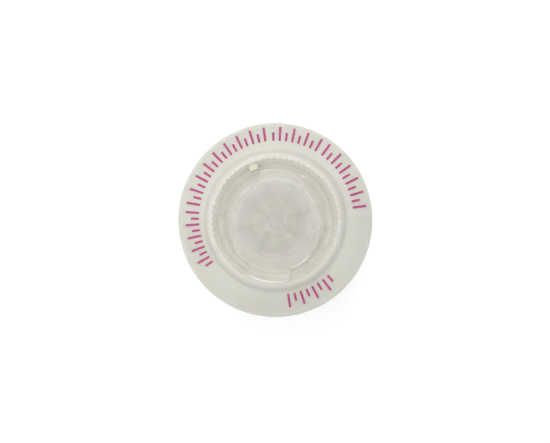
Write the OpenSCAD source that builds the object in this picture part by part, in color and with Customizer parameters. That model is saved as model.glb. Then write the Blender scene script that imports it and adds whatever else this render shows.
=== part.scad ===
// Syringe filter for a 13 mm membrane: two welded polypropylene half shells that hold a
// membrane and its backing, with a female luer lock inlet above and a male luer slip outlet below.
// Millimetres. Z runs along the flow axis and the outlet tip's end face is at z = 0.

/* [Outlet luer] */
// Diameter of the male taper at its tip
outlet_tip_d = 3.96; // [3.9:0.01:4.1]
// Length of the male taper from the tip to the boss
outlet_luer_length = 8.2; // [6:0.1:11]
// Diameter of the flow passage
outlet_port_d = 2.1; // [1.2:0.1:2.6]
// Diameter of the boss that carries the taper
outlet_boss_d = 9.6; // [8:0.1:12]
// Height of the boss below the disc
outlet_boss_h = 1; // [0.6:0.1:2]

/* [Inlet luer] */
// Diameter of the female taper at its mouth
inlet_mouth_d = 4.3; // [4.1:0.01:4.5]
// Depth of the female taper
inlet_depth = 8; // [7:0.1:8.2]
// Diameter of the port below the taper
inlet_port_d = 1.6; // [1:0.1:2.2]
// Outer diameter of the hub at its mouth
hub_d = 6.3; // [5.9:0.05:6.7]
// Height of the mouth above the printed face
hub_height = 8.4; // [8.3:0.1:12]
// Width of the lead-in chamfer at the mouth
mouth_chamfer = 0.3; // [0.05:0.05:0.4]
// Diameter across the two locking lugs
lug_d = 7.8; // [7.2:0.05:8.2]
// Width of each lug
lug_width = 3; // [2:0.1:4.5]
// Height of each lug at its thick end
lug_height = 1.4; // [1.2:0.1:2.5]
// Lead of the locking thread that the lugs' undersides follow
lug_lead = 5; // [3:0.5:6]
// Number of shallow spreader slots in the floor of the taper
spreader_count = 4; // [2:1:8]
// Width of each spreader slot
spreader_w = 0.6; // [0.2:0.05:0.8]
// Depth of each spreader slot
spreader_depth = 0.4; // [0.1:0.05:0.6]

/* [Housing] */
// Diameter of the rim
rim_d = 17.3; // [16.6:0.1:20]
// Thickness of the outlet half at the rim
outlet_rim_h = 1.4; // [1.2:0.1:3]
// Thickness of the inlet half at the rim
inlet_rim_h = 2; // [1.8:0.1:3]
// Radius of the rim's outer edges
rim_edge_r = 0.4; // [0.1:0.05:0.7]
// Width of the printed face between the collar around the inlet hub and the rim
face_w = 2.85; // [2.65:0.05:3.45]
// Height of the collar above the printed face
collar_h = 0.7; // [0.5:0.1:2]
// Wall of the collar at its top
collar_wall = 0.35; // [0.3:0.05:0.8]
// How far the collar's inner wall leans outwards from its foot to its top
collar_lean = 0.3; // [0.1:0.05:0.4]
// Width of the sloped foot outside the collar
collar_foot = 0.6; // [0.3:0.05:0.9]
// Thickness of the wall between the groove inside the collar and the plenum
groove_floor = 0.65; // [0.4:0.05:0.9]
// Number of grip ridges around the collar's inner wall and top
ridge_count = 66; // [12:1:90]
// Width of each grip ridge
ridge_w = 0.2; // [0.1:0.02:0.3]
// How far each grip ridge stands out from the collar
ridge_depth = 0.1; // [0.06:0.02:0.3]
// Number of gussets that brace the hub
gusset_count = 4; // [2:1:8]
// Thickness of each gusset
gusset_t = 0.55; // [0.3:0.05:1]
// Reach of each gusset over the groove's floor from the hub's foot
gusset_l = 1.5; // [0.8:0.1:1.9]
// Height of each gusset at its outer end
gusset_toe = 0.3; // [0.1:0.05:0.6]
// Height of each gusset at the hub
gusset_h = 2; // [1:0.1:4]
// Width of the trimmed moulding gate inside the collar
gate_w = 0.8; // [0.4:0.05:1.2]
// How far the trimmed gate stands in from the foot of the collar's inner wall
gate_l = 0.4; // [0.2:0.05:0.6]

/* [Membrane and its seat] */
// Diameter of the membrane
membrane_d = 13; // [12.6:0.1:13.2]
// Thickness of the membrane
membrane_t = 0.1; // [0.05:0.01:0.2]
// Thickness of the backing under the membrane
backing_t = 0.15; // [0.1:0.01:0.3]
// Width of the clamped margin of the membrane
clamp_w = 0.85; // [0.4:0.05:1.2]
// Height of the tongue that centres the two halves
tongue_h = 0.45; // [0.3:0.05:0.7]
// Wall between the tongue and the rim
skirt_w = 1.2; // [0.8:0.05:1.3]
// Height of the space above the membrane
plenum_h = 0.45; // [0.2:0.05:0.5]
// Number of ribs on the plenum roof
roof_rib_count = 8; // [4:1:12]
// Width of each roof rib
roof_rib_w = 0.4; // [0.2:0.05:0.5]
// Depth of the drain field under the membrane
drain_depth = 0.5; // [0.2:0.05:0.8]
// Number of the longest support ribs in the drain field
drain_rib_count = 8; // [3:1:10]
// Width of each support rib
drain_rib_w = 0.4; // [0.2:0.05:0.5]
// Where the middle support ribs start, as a share of the drain field's radius
middle_rib_start = 0.45; // [0.35:0.05:0.6]
// Where the shortest support ribs start, as a share of the drain field's radius
short_rib_start = 0.7; // [0.65:0.05:0.85]

/* [Print] */
// Thickness of the ink
ink_t = 0.04; // [0.02:0.01:0.1]
// Width of a tick
tick_w = 0.2; // [0.1:0.01:0.3]
// Angle between one tick and the next, in degrees
tick_angle = 4.4; // [3:0.1:8]
// Length of a short tick as a share of a long one
short_tick_share = 0.6; // [0.3:0.05:0.9]
// Bare margin between the collar's foot and the ticks
inner_margin = 0.4; // [0.25:0.05:0.5]
// Bare margin between the ticks and the rim's rounded edge
outer_margin = 0.25; // [0.25:0.05:0.4]
// How far the whole print sits off the axis
print_shift = 0.25; // [0:0.05:0.25]

/* [Hidden] */

$fn = 96;
luer_taper = 0.03;     // gain in radius for each millimetre of a 6 % luer taper
hub_draft = 0.01;      // gain in the hub's radius for each millimetre below the mouth
weld_gap = 0.05;       // space left around the tongue after welding
membrane_gap = 0.1;    // space around the membrane's edge
rib_gap = 0.1;         // space between the roof ribs and the membrane
tip_edge_r = 0.12;
mouth_edge_r = 0.15;
joint_chamfer = 0.08;
fillet_r = 0.3;
overlap = 0.02;        // sinks ribs and lugs into the wall that carries them
gate_angle = 120;
print_shift_angle = 78;

pp_colour = [0.80, 0.80, 0.76];
ptfe_colour = [0.95, 0.95, 0.93];
backing_colour = [0.90, 0.90, 0.88];
ink_colour = [0.80, 0.30, 0.58];

// heights, from the outlet tip upwards
z_boss = outlet_luer_length;
z_underside = z_boss + outlet_boss_h;
z_joint = z_underside + outlet_rim_h;
z_seat = z_joint + tongue_h;
z_membrane = z_seat + backing_t;
z_seal = z_membrane + membrane_t;
z_roof = z_seal + plenum_h;
z_print = z_joint + inlet_rim_h;
z_collar = z_print + collar_h;
z_groove = z_roof + groove_floor;
z_mouth = z_print + hub_height;
z_taper_floor = z_mouth - inlet_depth;
z_drain = z_seat - drain_depth;

// radii
rim_r = rim_d / 2;
membrane_r = membrane_d / 2;
field_r = membrane_r - clamp_w;
pocket_r = membrane_r + membrane_gap;
tongue_r = rim_r - skirt_w;
tip_r = outlet_tip_d / 2;
root_r = tip_r + luer_taper * (outlet_luer_length - fillet_r);
boss_r = outlet_boss_d / 2;
outlet_port_r = outlet_port_d / 2;
inlet_port_r = inlet_port_d / 2;
mouth_r = inlet_mouth_d / 2;
taper_floor_r = mouth_r - luer_taper * inlet_depth;
hub_r = hub_d / 2;
hub_foot_r = hub_r + hub_draft * (z_mouth - z_groove);
lug_r = lug_d / 2;
collar_r = rim_r - face_w;
lip_r = collar_r - collar_wall;
groove_r = lip_r - collar_lean;
foot_r = collar_r + collar_foot;
print_inner_r = foot_r + inner_margin;
print_outer_r = rim_r - rim_edge_r - outer_margin;

// points of an arc about [cx, cz] from angle a0 to a1
function arc(cx, cz, r, a0, a1, steps = 5) =
    [for (i = [0:steps]) let (a = a0 + (a1 - a0) * i / steps) [cx + r * cos(a), cz + r * sin(a)]];

// points of an S curve that climbs from [x0, z0] to [x1, z1], level at both ends
function sweep(x0, z0, x1, z1, steps = 8) =
    [for (i = [0:steps]) let (t = i / steps) [x0 + (x1 - x0) * t, z0 + (z1 - z0) * t * t * (3 - 2 * t)]];

// copies the children evenly around the axis, the first one at the angle start
module around(count, start = 0) {
    for (i = [0:count - 1]) rotate(start + 360 * i / count) children();
}

module inlet_profile() {
    polygon(concat(
        [
            [inlet_port_r, z_roof],
            [field_r, z_roof],
            [field_r, z_seal],
            [pocket_r, z_seal],
            [pocket_r, z_seat + weld_gap],
            [tongue_r + weld_gap, z_seat + weld_gap],
            [tongue_r + weld_gap, z_joint],
            [rim_r - joint_chamfer, z_joint],
            [rim_r, z_joint + joint_chamfer]
        ],
        arc(rim_r - rim_edge_r, z_print - rim_edge_r, rim_edge_r, 0, 90),
        sweep(foot_r, z_print, collar_r, z_collar - mouth_edge_r),
        arc(collar_r - mouth_edge_r, z_collar - mouth_edge_r, mouth_edge_r, 30, 90, 3),
        [[lip_r + mouth_edge_r / 2, z_collar], [lip_r, z_collar - mouth_edge_r / 2]],
        arc(groove_r - fillet_r, z_groove + fillet_r, fillet_r, 0, -90),
        arc(hub_foot_r + fillet_r, z_groove + fillet_r, fillet_r, -90, -180),
        arc(hub_r - mouth_edge_r, z_mouth - mouth_edge_r, mouth_edge_r, 0, 90),
        [
            [mouth_r + mouth_chamfer, z_mouth],
            [mouth_r, z_mouth - mouth_chamfer],
            [taper_floor_r, z_taper_floor],
            [inlet_port_r, z_taper_floor]
        ]
    ));
}

// one locking lug on +Y: flush with the mouth, with a right-hand thread's slope underneath
module lug() {
    slope = atan(lug_lead / (2 * PI * lug_r));
    inner_r = hub_r - 2 * mouth_edge_r;
    intersection() {
        rotate_extrude()
            polygon(concat(
                [
                    [inner_r, z_mouth],
                    [inner_r, z_mouth - lug_height],
                    [hub_r + overlap, z_mouth - lug_height],
                    [lug_r, z_mouth - lug_height + (lug_r - hub_r) / 2]
                ],
                arc(lug_r - mouth_edge_r, z_mouth - mouth_edge_r, mouth_edge_r, 0, 90)
            ));
        translate([0, 0, z_mouth - lug_height])
            rotate([0, slope, 0])
                translate([-lug_width, 0, lug_width / 2 * sin(slope)])
                    cube([2 * lug_width, lug_d, 2 * lug_height + lug_width]);
        translate([-lug_width / 2, 0, z_mouth - 2 * lug_height])
            cube([lug_width, lug_d, 3 * lug_height]);
    }
}

// one web on +X that braces the hub on the groove's floor
module gusset() {
    inner_r = mouth_r + mouth_chamfer;
    outer_r = hub_foot_r + gusset_l;
    rotate([90, 0, 0])
        translate([0, 0, -gusset_t / 2])
            linear_extrude(gusset_t)
                polygon([
                    [inner_r, z_groove - overlap],
                    [outer_r, z_groove - overlap],
                    [outer_r, z_groove + gusset_toe],
                    [hub_r, z_groove + gusset_h],
                    [inner_r, z_groove + gusset_h]
                ]);
}

// one ridge on +X that climbs the collar's inner wall and crosses its top
module grip_ridge() {
    z_shoulder = z_collar - mouth_edge_r;
    rotate([90, 0, 0])
        translate([0, 0, -ridge_w / 2])
            linear_extrude(ridge_w)
                polygon([
                    [groove_r - ridge_depth, z_groove - overlap],
                    [groove_r + overlap, z_groove - overlap],
                    [lip_r + mouth_edge_r, z_shoulder],
                    [collar_r - overlap, z_shoulder],
                    [collar_r - mouth_edge_r, z_collar + ridge_depth],
                    [lip_r, z_collar + ridge_depth],
                    [lip_r - ridge_depth, z_collar],
                    [groove_r - ridge_depth, z_groove + fillet_r]
                ]);
}

// the stub left in the groove where the moulding gate was trimmed off
module gate_mark() {
    rotate(gate_angle)
        translate([groove_r - gate_l, -gate_w / 2, z_groove - overlap])
            cube([gate_l + collar_lean, gate_w, z_collar - mouth_edge_r - z_groove + overlap]);
}

module roof_rib() {
    inner_r = inlet_port_r + roof_rib_w;
    translate([inner_r, -roof_rib_w / 2, z_seal + rib_gap])
        cube([field_r - inner_r - roof_rib_w, roof_rib_w, plenum_h - rib_gap + overlap]);
}

module spreader_slot() {
    translate([0, -spreader_w / 2, z_taper_floor - spreader_depth])
        cube([taper_floor_r - luer_taper, spreader_w, spreader_depth + overlap]);
}

module inlet_housing() {
    color(pp_colour) {
        difference() {
            rotate_extrude() inlet_profile();
            around(spreader_count, 180 / spreader_count) spreader_slot();
        }
        around(2) lug();
        around(gusset_count) gusset();
        around(ridge_count, 180 / ridge_count) grip_ridge();
        around(roof_rib_count, 180 / roof_rib_count) roof_rib();
        gate_mark();
    }
}

module outlet_profile() {
    polygon(concat(
        [[outlet_port_r, 0]],
        arc(tip_r - tip_edge_r, tip_edge_r, tip_edge_r, -90, 0, 4),
        arc(root_r + fillet_r, z_boss - fillet_r, fillet_r, 180, 90),
        arc(boss_r - fillet_r, z_boss + fillet_r, fillet_r, -90, 0),
        arc(boss_r + fillet_r, z_underside - fillet_r, fillet_r, 180, 90),
        arc(rim_r - rim_edge_r, z_underside + rim_edge_r, rim_edge_r, -90, 0),
        [
            [rim_r, z_joint - joint_chamfer],
            [rim_r - joint_chamfer, z_joint],
            [tongue_r, z_joint],
            [tongue_r, z_seat],
            [field_r, z_seat],
            [field_r, z_drain],
            [outlet_port_r, z_drain]
        ]
    ));
}

// one support rib on +X, from start_r out to the seat
module drain_rib(start_r) {
    translate([start_r, -drain_rib_w / 2, z_drain - overlap])
        cube([field_r - start_r + overlap, drain_rib_w, drain_depth + overlap]);
}

module outlet_housing() {
    color(pp_colour) {
        rotate_extrude() outlet_profile();
        // long ribs, shorter ones midway between them and the shortest between those
        around(drain_rib_count) drain_rib(outlet_port_r + drain_rib_w);
        around(drain_rib_count, 180 / drain_rib_count) drain_rib(field_r * middle_rib_start);
        around(2 * drain_rib_count, 90 / drain_rib_count) drain_rib(field_r * short_rib_start);
    }
}

module membrane() {
    color(ptfe_colour)
        translate([0, 0, z_membrane])
            cylinder(r = membrane_r, h = membrane_t);
}

module membrane_backing() {
    color(backing_colour)
        translate([0, 0, z_seat])
            cylinder(r = membrane_r, h = backing_t);
}

module tick(length) {
    translate([print_inner_r, -tick_w / 2, z_print])
        cube([length, tick_w, ink_t]);
}

// a scale of long and short ticks in five groups, each from its first to its last angle
print_groups = [[16, 62], [68, 100], [106, 178], [184, 222], [287, 320]];

module rim_print() {
    tick_length = print_outer_r - print_inner_r;
    color(ink_colour)
        translate([print_shift * cos(print_shift_angle), print_shift * sin(print_shift_angle), 0])
            for (group = print_groups) {
                span = group[1] - group[0];
                count = round(span / tick_angle);
                for (i = [0:count])
                    rotate(group[0] + span * i / count)
                        tick(tick_length * (i % 2 == 0 ? 1 : short_tick_share));
            }
}

inlet_housing();
outlet_housing();
membrane();
membrane_backing();
rim_print();
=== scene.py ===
"""Looks of a syringe filter: two milky polypropylene half shells, printed rim, seen from above the inlet."""

import math

import bpy
from mathutils import Matrix, Vector, noise


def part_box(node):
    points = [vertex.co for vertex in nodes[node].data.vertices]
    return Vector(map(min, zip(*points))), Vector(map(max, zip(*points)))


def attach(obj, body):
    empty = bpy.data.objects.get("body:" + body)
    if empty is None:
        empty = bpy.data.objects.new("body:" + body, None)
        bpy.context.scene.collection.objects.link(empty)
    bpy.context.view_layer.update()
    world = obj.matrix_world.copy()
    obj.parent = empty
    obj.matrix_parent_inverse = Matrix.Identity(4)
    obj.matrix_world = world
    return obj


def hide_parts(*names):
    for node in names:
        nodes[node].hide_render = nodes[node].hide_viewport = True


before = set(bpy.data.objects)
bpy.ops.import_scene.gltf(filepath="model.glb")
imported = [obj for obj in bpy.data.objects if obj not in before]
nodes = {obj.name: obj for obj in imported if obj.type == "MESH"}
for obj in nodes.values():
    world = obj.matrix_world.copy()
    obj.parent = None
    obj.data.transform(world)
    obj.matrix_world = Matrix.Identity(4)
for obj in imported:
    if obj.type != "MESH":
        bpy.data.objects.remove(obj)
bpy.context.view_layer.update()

MM = 0.001

# Heights and radii, read from the frame.
inlet_low, inlet_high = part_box("inlet_housing")
RIM_R = inlet_high.x
Z_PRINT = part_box("rim_print")[0].z
Z_MOUTH = inlet_high.z
Z_JOINT = inlet_low.z

# Sizes of the inlet half that its box doesn't give.
FACE_WIDTH = 2.85 * MM
COLLAR_R = RIM_R - FACE_WIDTH
COLLAR_WALL = 0.35 * MM
COLLAR_LEAN = 0.3 * MM
COLLAR_HEIGHT = 0.7 * MM
Z_COLLAR = Z_PRINT + COLLAR_HEIGHT
RIDGE_DEPTH = 0.1 * MM
HUB_R = 3.15 * MM
LUG_R = 3.9 * MM
EDGE_R = 0.15 * MM
GATE_ANGLE = math.radians(120)
GATE_WIDTH = 0.8 * MM
GATE_LENGTH = 0.4 * MM

# Colours, linear.
CLEAR = (0.785, 0.78, 0.72, 1)
MILK = (0.86, 0.86, 0.795, 1)
MILK_WARM = (0.85, 0.84, 0.765, 1)
# Painted light: the pale colour of the rim inside the collar, and of the painted highlights on the ridges'
# crests.
PAINTED_LIGHT_WHITE = (0.97, 0.96, 0.87, 1)
# Painted highlight: the white of the arcs on the mouth's edge.
GLINT_WHITE = (0.90, 0.88, 0.76, 1)
# The torn gate face, whose paleness is also a painted highlight.
SCAR_GLINT = (0.74, 0.72, 0.56, 1)
SCAR_GLINT_DARK = (0.60, 0.58, 0.44, 1)
INK = (0.43, 0.055, 0.19, 1)
INK_THIN = (0.54, 0.11, 0.29, 1)
PTFE = (0.94, 0.93, 0.895, 1)
PTFE_GREY = (0.89, 0.88, 0.845, 1)
FLOOR = (0.9, 0.9, 0.9, 1)


# ---------------------------------------------------------------- node helpers

class Nodes:
    """Short calls for building one material's node tree."""

    def __init__(self, name):
        self.material = bpy.data.materials.new(name)
        self.material.use_nodes = True
        self.tree = self.material.node_tree
        self.shader = self.tree.nodes["Principled BSDF"]
        self.position = self.tree.nodes.new("ShaderNodeTexCoord").outputs["Object"]

    def new(self, kind, **settings):
        node = self.tree.nodes.new(kind)
        for key, value in settings.items():
            setattr(node, key, value)
        return node

    def link(self, source, target):
        self.tree.links.new(source, target)

    def set(self, **values):
        for name, value in values.items():
            self.shader.inputs[name.replace("_", " ")].default_value = value

    def drive(self, **sources):
        for name, source in sources.items():
            self.link(source, self.shader.inputs[name.replace("_", " ")])

    def math(self, operation, first, second):
        node = self.new("ShaderNodeMath", operation=operation)
        for socket, value in zip(node.inputs, (first, second)):
            if isinstance(value, (int, float)):
                socket.default_value = value
            else:
                self.link(value, socket)
        return node.outputs[0]

    def noise(self, size, detail=3.0, roughness=0.5):
        """Noise whose features are about size metres across."""
        node = self.new("ShaderNodeTexNoise")
        self.link(self.position, node.inputs["Vector"])
        node.inputs["Scale"].default_value = 1 / size
        node.inputs["Detail"].default_value = detail
        node.inputs["Roughness"].default_value = roughness
        return node.outputs["Fac"]

    def radius(self):
        """Distance from the part's axis, in metres."""
        flat = self.new("ShaderNodeVectorMath", operation="MULTIPLY")
        self.link(self.position, flat.inputs[0])
        flat.inputs[1].default_value = (1, 1, 0)
        length = self.new("ShaderNodeVectorMath", operation="LENGTH")
        self.link(flat.outputs[0], length.inputs[0])
        return length.outputs["Value"]

    def height(self):
        node = self.new("ShaderNodeSeparateXYZ")
        self.link(self.position, node.inputs[0])
        return node.outputs["Z"]

    def ramp(self, factor, low, high, at=(0.3, 0.7)):
        node = self.new("ShaderNodeValToRGB")
        self.link(factor, node.inputs["Fac"])
        for element, place, colour in zip(node.color_ramp.elements, at, (low, high)):
            element.position = place
            element.color = colour
        return node.outputs["Color"]

    def mix(self, factor, first, second):
        node = self.new("ShaderNodeMix", data_type="RGBA")
        self.link(factor, node.inputs["Factor"])
        for socket, value in zip((node.inputs["A"], node.inputs["B"]), (first, second)):
            if isinstance(value, tuple):
                socket.default_value = value
            else:
                self.link(value, socket)
        return node.outputs["Result"]

    def map(self, value, low, high, start=0.0, end=1.0):
        node = self.new("ShaderNodeMapRange")
        self.link(value, node.inputs["Value"])
        node.inputs["From Min"].default_value = start
        node.inputs["From Max"].default_value = end
        node.inputs["To Min"].default_value = low
        node.inputs["To Max"].default_value = high
        return node.outputs["Result"]

    def bump(self, *layers):
        """Each layer is (height source, height in metres)."""
        normal = None
        for height, distance in layers:
            node = self.new("ShaderNodeBump")
            self.link(height, node.inputs["Height"])
            node.inputs["Distance"].default_value = distance
            if normal is not None:
                self.link(normal, node.inputs["Normal"])
            normal = node.outputs["Normal"]
        self.link(normal, self.shader.inputs["Normal"])


# ------------------------------------------------------------------- materials

# How milky the plastic is: 1 in the solid rim, 0 at the hub's mouth and its lugs, and these shares elsewhere.
DISC_MILK = 0.3
TIP_MILK = 0.5
HUB_MILK = 0.35
THINNEST_ALPHA = 0.24
THICKEST_ALPHA = 0.85

# Where one milkiness fades into the next: radii, then heights.
RIM_FADE = (COLLAR_R - 1.6 * MM, COLLAR_R - 0.6 * MM)
HUB_WALL_FADE = (HUB_R - 0.06 * MM, HUB_R - 0.02 * MM)
LUG_FADE = (HUB_R + 0.05 * MM, HUB_R + 0.35 * MM)
TIP_FADE = (Z_JOINT - 2.2 * MM, Z_JOINT - 1.2 * MM)
HUB_FOOT_FADE = (Z_PRINT + 0.1 * MM, Z_PRINT + 0.8 * MM)
BELOW_LUGS_FADE = (Z_MOUTH - 3.5 * MM, Z_MOUTH - 3 * MM)
MOUTH_FADE = (Z_MOUTH - 0.4 * MM, Z_MOUTH - 0.2 * MM)

# The collar's inner wall lets less light through: where it begins and ends, as two radii and a height.
WALL_INNER_FADE = (COLLAR_R - 0.85 * MM, COLLAR_R - 0.75 * MM)
WALL_OUTER_FADE = (COLLAR_R - 0.3 * MM, COLLAR_R - 0.2 * MM)
WALL_FOOT_FADE = (Z_PRINT - 0.15 * MM, Z_PRINT - 0.05 * MM)
TRANSMISSION = 0.3
WALL_TRANSMISSION = 0.15

# Painted light: the rim's colour is paler inside the collar's outer edge, lightening the groove and collar
# against their shade, and painted highlights pale it in spots on the ridges' crests.
PAINTED_LIGHT_EDGE_FADE = (COLLAR_R - 0.05 * MM, COLLAR_R + 0.1 * MM)
CREST_HIGHLIGHT_FADE = (Z_COLLAR, Z_COLLAR + RIDGE_DEPTH)
CREST_HIGHLIGHT_SPOTS = 0.5 * MM

# Sizes of the plastic's clouds, gloss patches and ripples, and how deep the ripples are.
CLOUDS = 4 * MM
GLOSS_PATCHES = 0.7 * MM
SHORT_RIPPLE = 0.9 * MM
SHORT_RIPPLE_DEPTH = 0.006 * MM
LONG_RIPPLE = 3 * MM
LONG_RIPPLE_DEPTH = 0.02 * MM

# The same for the pale plastic of the painted highlight arcs and the gate scar, and for ink.
PALE_CLOUDS = 0.25 * MM
PALE_PATCHES = 0.1 * MM
PALE_GRAIN = 0.08 * MM
PALE_DEPTH = 0.006 * MM
INK_CLOUDS = 0.12 * MM
INK_GRAIN = 0.06 * MM
INK_DEPTH = 0.004 * MM

# Grain of the two sheets, and how deep it is as a share of its size.
MEMBRANE_GRAIN = 0.15 * MM
BACKING_GRAIN = 0.3 * MM
GRAIN_DEPTH = 0.1

# How far light spreads inside the plastic and the sheets.
PLASTIC_GLOW = 0.25 * MM
SHEET_GLOW = 0.3 * MM


def milkiness(m):
    """How milky the plastic is at each point: the rim, the disc's thin walls, the tip and the hub's wall."""
    below_hub = m.map(m.height(), 1, 0, *HUB_FOOT_FADE)
    disc_and_tip = m.math("MULTIPLY", below_hub, m.map(m.height(), TIP_MILK, DISC_MILK, *TIP_FADE))
    hub = m.math("SUBTRACT", m.map(m.height(), 1, 0, *MOUTH_FADE), below_hub)
    inside_lugs = m.map(m.radius(), 1, 0, *LUG_FADE)
    off_lugs = m.math("MAXIMUM", inside_lugs, m.map(m.height(), 1, 0, *BELOW_LUGS_FADE))
    outer_skin = m.map(m.radius(), 0, HUB_MILK, *HUB_WALL_FADE)
    hub_wall = m.math("MULTIPLY", hub, m.math("MULTIPLY", outer_skin, off_lugs))
    rim = m.map(m.radius(), 0, 1, *RIM_FADE)
    return m.math("MAXIMUM", rim, m.math("MAXIMUM", disc_and_tip, hub_wall))


def collar_wall(m):
    """1 on the collar's inner wall and 0 elsewhere."""
    beyond_groove = m.map(m.radius(), 0, 1, *WALL_INNER_FADE)
    short_of_top = m.map(m.radius(), 1, 0, *WALL_OUTER_FADE)
    above_foot = m.map(m.height(), 0, 1, *WALL_FOOT_FADE)
    return m.math("MULTIPLY", m.math("MULTIPLY", beyond_groove, short_of_top), above_foot)


def polypropylene(name):
    """Milky moulded plastic: nearly clear in its thin walls, hazier in the solid rim, paled by painted light
    inside the collar and by painted highlights on the ridges' crests.
    """
    m = Nodes(name)
    milky = milkiness(m)
    milk = m.ramp(m.noise(CLOUDS, 2), MILK, MILK_WARM)
    # Painted light: the milky colour turns pale inside the collar's edge and in spots on the ridges' crests,
    # standing in for light and highlights there.
    crest_highlight = m.map(m.height(), 0, 1, *CREST_HIGHLIGHT_FADE)
    inside = m.map(m.radius(), 1, 0, *PAINTED_LIGHT_EDGE_FADE)
    pale = m.math("MAXIMUM", inside, m.math("MULTIPLY", crest_highlight, m.noise(CREST_HIGHLIGHT_SPOTS)))
    m.drive(
        Base_Color=m.mix(milky, CLEAR, m.mix(pale, milk, PAINTED_LIGHT_WHITE)),
        Roughness=m.map(m.noise(GLOSS_PATCHES), 0.10, 0.18),
        Alpha=m.map(milky, THINNEST_ALPHA, THICKEST_ALPHA),
        Transmission_Weight=m.map(collar_wall(m), TRANSMISSION, WALL_TRANSMISSION),
    )
    m.set(IOR=1.45)
    m.set(Subsurface_Weight=0.6, Subsurface_Scale=PLASTIC_GLOW, Subsurface_Radius=(1, 0.95, 0.85))
    m.bump((m.noise(SHORT_RIPPLE, 4), SHORT_RIPPLE_DEPTH), (m.noise(LONG_RIPPLE, 1), LONG_RIPPLE_DEPTH))
    return m.material


def torn_white_and_glint(name, low, high):
    """Pale plastic that stands in for glints: the painted highlight arcs on the mouth's edge, and the torn
    white gate face, whose paleness is also a painted highlight.
    """
    m = Nodes(name)
    m.drive(
        Base_Color=m.ramp(m.noise(PALE_CLOUDS, 3), low, high),
        Roughness=m.map(m.noise(PALE_PATCHES), 0.3, 0.5),
    )
    m.bump((m.noise(PALE_GRAIN, 4), PALE_DEPTH))
    return m.material


def ink(name):
    """Pad printed ink, thinner in places."""
    m = Nodes(name)
    m.drive(Base_Color=m.ramp(m.noise(INK_CLOUDS, 3, 0.6), INK_THIN, INK, (0.25, 0.5)))
    m.set(Roughness=0.5)
    m.bump((m.noise(INK_GRAIN, 3), INK_DEPTH))
    return m.material


def ptfe(name, grain):
    """White fibrous sheet that glows a little where light comes through it."""
    m = Nodes(name)
    m.drive(Base_Color=m.ramp(m.noise(grain, 4), PTFE_GREY, PTFE))
    m.set(Roughness=0.8, Subsurface_Weight=0.5, Subsurface_Scale=SHEET_GLOW, Subsurface_Radius=(1, 1, 1))
    m.bump((m.noise(grain, 5, 0.7), GRAIN_DEPTH * grain))
    return m.material


def dress(node, material):
    """Gives a CAD node its material."""
    slots = nodes[node].data.materials
    slots.clear()
    slots.append(material)


dress("inlet_housing", polypropylene("inlet_plastic"))
dress("outlet_housing", polypropylene("outlet_plastic"))
dress("rim_print", ink("print_ink"))


# ------------------------------------------------------------------ added pieces

UP = Vector((0, 0, 1))


def add(name, verts, faces, material, slot="polypropylene"):
    """A smooth mesh piece that belongs to the filter."""
    mesh = bpy.data.meshes.new(name)
    mesh.from_pydata(verts, [], faces)
    mesh.materials.append(material)
    mesh.shade_smooth()
    piece = bpy.data.objects.new(name, mesh)
    bpy.context.scene.collection.objects.link(piece)
    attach(piece, "root")
    return piece


def wave(place, size):
    """Smooth noise between 0 and 1, with features about size metres across."""
    return min(1.0, max(0.0, 0.5 + noise.noise(place / size)))


def on_circle(radius, angle, z):
    return Vector((radius * math.cos(angle), radius * math.sin(angle), z))


def tube(path, radii, closed, sides):
    """Points and faces of a tube along a level anticlockwise path, with its own radius at each point."""
    verts, faces = [], []
    last = len(path) - 1
    for i, (point, radius) in enumerate(zip(path, radii)):
        before = path[i - 1] if i or closed else path[0]
        after = path[(i + 1) % len(path)] if i < last or closed else path[last]
        out = (after - before).normalized().cross(UP)
        for k in range(sides):
            turn = 2 * math.pi * k / sides
            verts.append(point + radius * (math.cos(turn) * out + math.sin(turn) * UP))
    for i in range(last + closed):
        here, there = i * sides, (i + 1) % len(path) * sides
        for k in range(sides):
            k2 = (k + 1) % sides
            faces.append((here + k, there + k, there + k2, here + k2))
    if not closed:
        faces.append(tuple(range(sides)))
        faces.append(tuple(range(last * sides, (last + 1) * sides))[::-1])
    return verts, faces


# The weld's squeezed-out bead, which fills the groove between the two halves.
WELD_STEPS = 720
WELD_R = 0.03 * MM
WELD_DEPTH = 0.05 * MM       # how far its middle lies inside the rim
WELD_SWELL = 0.012 * MM      # how much it swells and strays up and down
WELD_LUMPS = 0.5 * MM
WELD_STRAYS = 1.5 * MM
WELD_SIDES = 10


def weld_bead():
    path, radii = [], []
    for i in range(WELD_STEPS):
        angle = 2 * math.pi * i / WELD_STEPS
        place = on_circle(RIM_R - WELD_DEPTH, angle, Z_JOINT)
        path.append(place + UP * WELD_SWELL * (wave(place, WELD_STRAYS) - 0.5))
        radii.append(WELD_R + WELD_SWELL * wave(place, WELD_LUMPS))
    add("weld_bead", *tube(path, radii, True, WELD_SIDES), polypropylene("weld_plastic"))


# Painted highlight: thin white arcs along parts of the mouth's outer edge stand in for the glints there.
# Each row gives that edge's radius, where the arc starts and ends in degrees, and half its thickness.
GLINT_ARCS = (
    (LUG_R, 248, 291, 0.065 * MM),
    (HUB_R, 299, 328, 0.055 * MM),
    (HUB_R, 131, 148, 0.015 * MM),
    (HUB_R, 214, 240, 0.02 * MM),
    (HUB_R, 36, 58, 0.02 * MM),
    (LUG_R, 64, 72, 0.025 * MM),
)
GLINT_STEP = 0.5             # degrees from point to point
GLINT_TAPER = 12             # degrees over which each end thins out
GLINT_TIP = 1                # degrees of that taper that are cut off, so that no end is a point
GLINT_INSET = (1 - math.sqrt(0.5)) * EDGE_R
GLINT_LEAST = 0.7            # share of the thickness that is left where it is thinnest
GLINT_LUMPS = 0.6 * MM
GLINT_SIDES = 8


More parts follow.
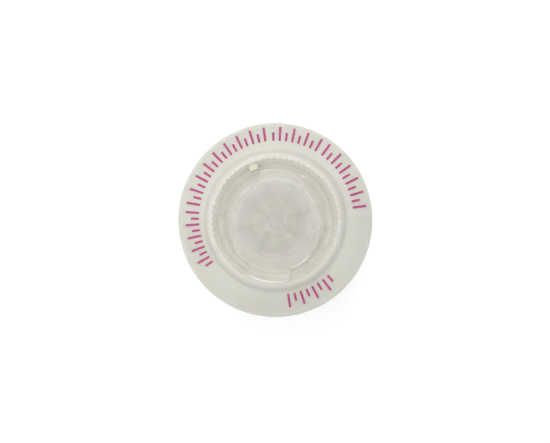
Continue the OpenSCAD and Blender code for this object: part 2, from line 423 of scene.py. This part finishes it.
# Painted highlight: builds the white arcs that stand in for glints on the mouth's edge.
def painted_glint_arcs():
    verts, faces = [], []
    for edge, start, end, half_thickness in GLINT_ARCS:
        inset = max(GLINT_INSET, half_thickness)
        path, radii = [], []
        steps = int((end - start) / GLINT_STEP)
        for i in range(steps + 1):
            angle = start + i * GLINT_STEP
            place = on_circle(edge - inset, math.radians(angle), Z_MOUTH - inset)
            taper = min(1.0, (GLINT_TIP + min(i, steps - i) * GLINT_STEP) / GLINT_TAPER)
            lump = GLINT_LEAST + (1 - GLINT_LEAST) * wave(place, GLINT_LUMPS)
            path.append(place)
            radii.append(half_thickness * math.sqrt(taper) * lump)
        arc_verts, arc_faces = tube(path, radii, False, GLINT_SIDES)
        faces += [tuple(len(verts) + k for k in face) for face in arc_faces]
        verts += arc_verts
    add("painted_glint_arcs", verts, faces, torn_white_and_glint("glint_arc_plastic", MILK, GLINT_WHITE))


# The torn face of the moulding gate, which caps the stub in the groove; its pale colour is also a painted
# highlight.
SCAR_LENGTH = 0.5 * MM
SCAR_STEPS = 16
SCAR_SKIN = 0.03 * MM        # how far it swells above and below the stub's top
SCAR_LEAST = 0.6             # share of that skin in its hollows
SCAR_RANGE = 0.8             # and how much its lumps add
SCAR_LUMPS = 0.15 * MM


def gate_scar_glint():
    out = on_circle(1, GATE_ANGLE, 0)
    side = UP.cross(out)
    stub_r = COLLAR_R - COLLAR_WALL - COLLAR_LEAN - GATE_LENGTH
    top = Z_COLLAR - EDGE_R
    spots = {}
    faces = []

    def spot(i, j, layer):
        rim = i in (0, SCAR_STEPS) or j in (0, SCAR_STEPS)
        return spots.setdefault((i, j, 0 if rim else layer), len(spots))

    def place(i, j, layer):
        u, v = 2 * i / SCAR_STEPS - 1, 2 * j / SCAR_STEPS - 1
        flat = out * (stub_r + 0.5 * SCAR_LENGTH * (1 + u)) + side * (0.5 * GATE_WIDTH * v)
        crown = (1 - u ** 4) * (1 - v ** 4)
        lump = SCAR_LEAST + SCAR_RANGE * wave(flat, SCAR_LUMPS)
        return flat + UP * (top + layer * SCAR_SKIN * crown * lump)

    for layer in (1, -1):
        for i in range(SCAR_STEPS):
            for j in range(SCAR_STEPS):
                corners = ((i, j), (i + 1, j), (i + 1, j + 1), (i, j + 1))
                faces.append(tuple(spot(*corner, layer) for corner in corners)[::layer])
    add("gate_scar_glint", [place(*key) for key in spots], faces, torn_white_and_glint("gate_glint_plastic", SCAR_GLINT_DARK, SCAR_GLINT))


weld_bead()
painted_glint_arcs()
gate_scar_glint()


# ------------------------------------------------------- the sheets in the middle

SHEET_RINGS = 48
SHEET_STEPS = 144
SKIN_GAP = 0.004 * MM        # keeps each sheet's faces just clear of the faces they rest on
CLAMP_SHARE = 0.85           # the sheets are clamped flat beyond this share of their radius
CLAMP_EASE = 0.25            # share of the free radius over which the ripple grows to its full height
RIPPLE_SIZE = 1.2 * MM
MEMBRANE_RIPPLE = 0.03 * MM


def sheet(name, node, slot, material, ripple=0.0):
    """A thin disc that stands for the node: flat where it is clamped, gently wavy inside."""
    low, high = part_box(node)
    radius = high.x - SKIN_GAP
    rings = [radius * (i + 1) / SHEET_RINGS for i in range(SHEET_RINGS)]

    def lift(x, y):
        free = max(0.0, 1 - math.hypot(x, y) / (CLAMP_SHARE * radius))
        return ripple * noise.noise(Vector((x, y, low.z)) / RIPPLE_SIZE) * min(1.0, free / CLAMP_EASE)

    verts, faces = [], []
    for z, way in ((high.z - SKIN_GAP, 1), (low.z + SKIN_GAP, -1)):
        first = len(verts)
        verts.append((0, 0, z + lift(0, 0)))
        for r in rings:
            for k in range(SHEET_STEPS):
                a = 2 * math.pi * k / SHEET_STEPS
                x, y = r * math.cos(a), r * math.sin(a)
                verts.append((x, y, z + lift(x, y)))
        for k in range(SHEET_STEPS):
            k2 = (k + 1) % SHEET_STEPS
            faces.append((first, first + 1 + k, first + 1 + k2)[::way])
            for i in range(SHEET_RINGS - 1):
                a = first + 1 + i * SHEET_STEPS
                b = a + SHEET_STEPS
                faces.append((a + k, b + k, b + k2, a + k2)[::way])
    top = 1 + (SHEET_RINGS - 1) * SHEET_STEPS
    bottom = top + 1 + SHEET_RINGS * SHEET_STEPS
    for k in range(SHEET_STEPS):
        k2 = (k + 1) % SHEET_STEPS
        faces.append((top + k, bottom + k, bottom + k2, top + k2))
    piece = add(name, verts, faces, material, slot)
    for face in piece.data.polygons:
        face.use_smooth = face.index < len(faces) - SHEET_STEPS
    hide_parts(node)


sheet("membrane_sheet", "membrane", "ptfe", ptfe("membrane_ptfe", MEMBRANE_GRAIN), MEMBRANE_RIPPLE)
sheet("backing_sheet", "membrane_backing", "backing", ptfe("backing_fibre", BACKING_GRAIN))


# ---------------------------------------------------------------------- camera

# The camera hangs close above the inlet and is rolled, so that the lugs stand a little off the vertical.
CAMERA_DISTANCE = 36.5 * MM
CAMERA_LEAN_UP = math.radians(2.36)
CAMERA_LEAN_RIGHT = math.radians(0.17)
CAMERA_ROLL = math.radians(8)
CAMERA_AIM = (-0.02 * MM, -0.04 * MM)      # from the axis, along the picture's right and its top
CAMERA_NEAR = 1 * MM
CAMERA_FAR = 2.0
FOCAL_MM = 27.1
SENSOR_MM = 36
right = Vector((math.cos(CAMERA_ROLL), math.sin(CAMERA_ROLL), 0))
up = Vector((-right.y, right.x, 0))


def place_camera():
    back = UP + up * math.tan(CAMERA_LEAN_UP) + right * math.tan(CAMERA_LEAN_RIGHT)
    back.normalize()
    aim = Vector((0, 0, Z_PRINT)) + CAMERA_AIM[0] * right + CAMERA_AIM[1] * up
    camera = bpy.data.objects.new("camera", bpy.data.cameras.new("camera"))
    bpy.context.scene.collection.objects.link(camera)
    camera.data.lens = FOCAL_MM
    camera.data.sensor_width = SENSOR_MM
    camera.data.clip_start = CAMERA_NEAR
    camera.data.clip_end = CAMERA_FAR
    camera.location = aim + back * CAMERA_DISTANCE
    side = up.cross(back).normalized()
    top = back.cross(side)
    camera.rotation_euler = Matrix([[side[i], top[i], back[i]] for i in range(3)]).to_euler()
    bpy.context.scene.camera = camera


place_camera()


# --------------------------------------------------------------- floor and light

FLOOR_HALF = 1.5
FLOOR_LIFT = 0.2             # what the floor adds for the eye alone, so that it shows white
FAR_LIFT = 0.34              # and what it adds beyond the lamps' reach
LIFT_FADE = (30 * MM, 120 * MM)
SKY_LIGHT = 0.75             # how strongly the white surroundings light things
# Each lamp's azimuth and zenith angle in degrees, distance and width in metres, and power in watts.
LAMPS = {
    "key": (97, 50, 0.14, 0.07, 0.043),
    "fill": (180, 45, 0.08, 0.05, 0.009),
    "top": (97, 12, 0.3, 0.2, 0.12),
}
SEEING_RAYS = ("Is Camera Ray", "Is Glossy Ray", "Is Transmission Ray")


def seeing(tree):
    """1 for the rays that look at a thing and 0 for those that only gather its light."""
    path = tree.nodes.new("ShaderNodeLightPath")
    seen = path.outputs[SEEING_RAYS[0]]
    for ray in SEEING_RAYS[1:]:
        either = tree.nodes.new("ShaderNodeMath")
        either.operation = "MAXIMUM"
        tree.links.new(seen, either.inputs[0])
        tree.links.new(path.outputs[ray], either.inputs[1])
        seen = either.outputs[0]
    return seen


def make_floor():
    """A pale floor that the camera, gloss and glass see as white, and that keeps its shadow."""
    s = FLOOR_HALF
    mesh = bpy.data.meshes.new("floor")
    mesh.from_pydata([(-s, -s, 0), (s, -s, 0), (s, s, 0), (-s, s, 0)], [], [(0, 1, 2, 3)])
    floor = bpy.data.objects.new("floor", mesh)
    bpy.context.scene.collection.objects.link(floor)
    m = Nodes("floor")
    m.set(Base_Color=FLOOR, Roughness=0.9, Emission_Color=(1, 1, 1, 1))
    lift = m.map(m.radius(), FLOOR_LIFT, FAR_LIFT, *LIFT_FADE)
    m.drive(Emission_Strength=m.math("MULTIPLY", seeing(m.tree), lift))
    mesh.materials.append(m.material)


def lamp(name, azimuth, zenith, distance, size, power):
    """A round soft lamp; its azimuth is counted from the picture's right-hand side."""
    turn, tilt = math.radians(azimuth), math.radians(zenith)
    flat = right * math.cos(turn) + up * math.sin(turn)
    aim = Vector((0, 0, Z_PRINT))
    place = aim + distance * (flat * math.sin(tilt) + UP * math.cos(tilt))
    data = bpy.data.lights.new(name, "AREA")
    data.shape = "DISK"
    data.size = size
    data.energy = power
    thing = bpy.data.objects.new(name, data)
    thing.location = place
    thing.rotation_euler = (aim - place).to_track_quat("-Z", "Y").to_euler()
    bpy.context.scene.collection.objects.link(thing)


def make_world():
    """White surroundings that light the part a little less than they show."""
    world = bpy.data.worlds.new("studio")
    bpy.context.scene.world = world
    world.use_nodes = True
    tree = world.node_tree
    background = tree.nodes["Background"]
    background.inputs["Color"].default_value = (1, 1, 1, 1)
    strength = tree.nodes.new("ShaderNodeMapRange")
    tree.links.new(seeing(tree), strength.inputs["Value"])
    strength.inputs["To Min"].default_value = SKY_LIGHT
    strength.inputs["To Max"].default_value = 1.0
    tree.links.new(strength.outputs["Result"], background.inputs["Strength"])


make_floor()
make_world()
for name, values in LAMPS.items():
    lamp(name, *values)

bpy.context.scene.view_settings.view_transform = "Standard"
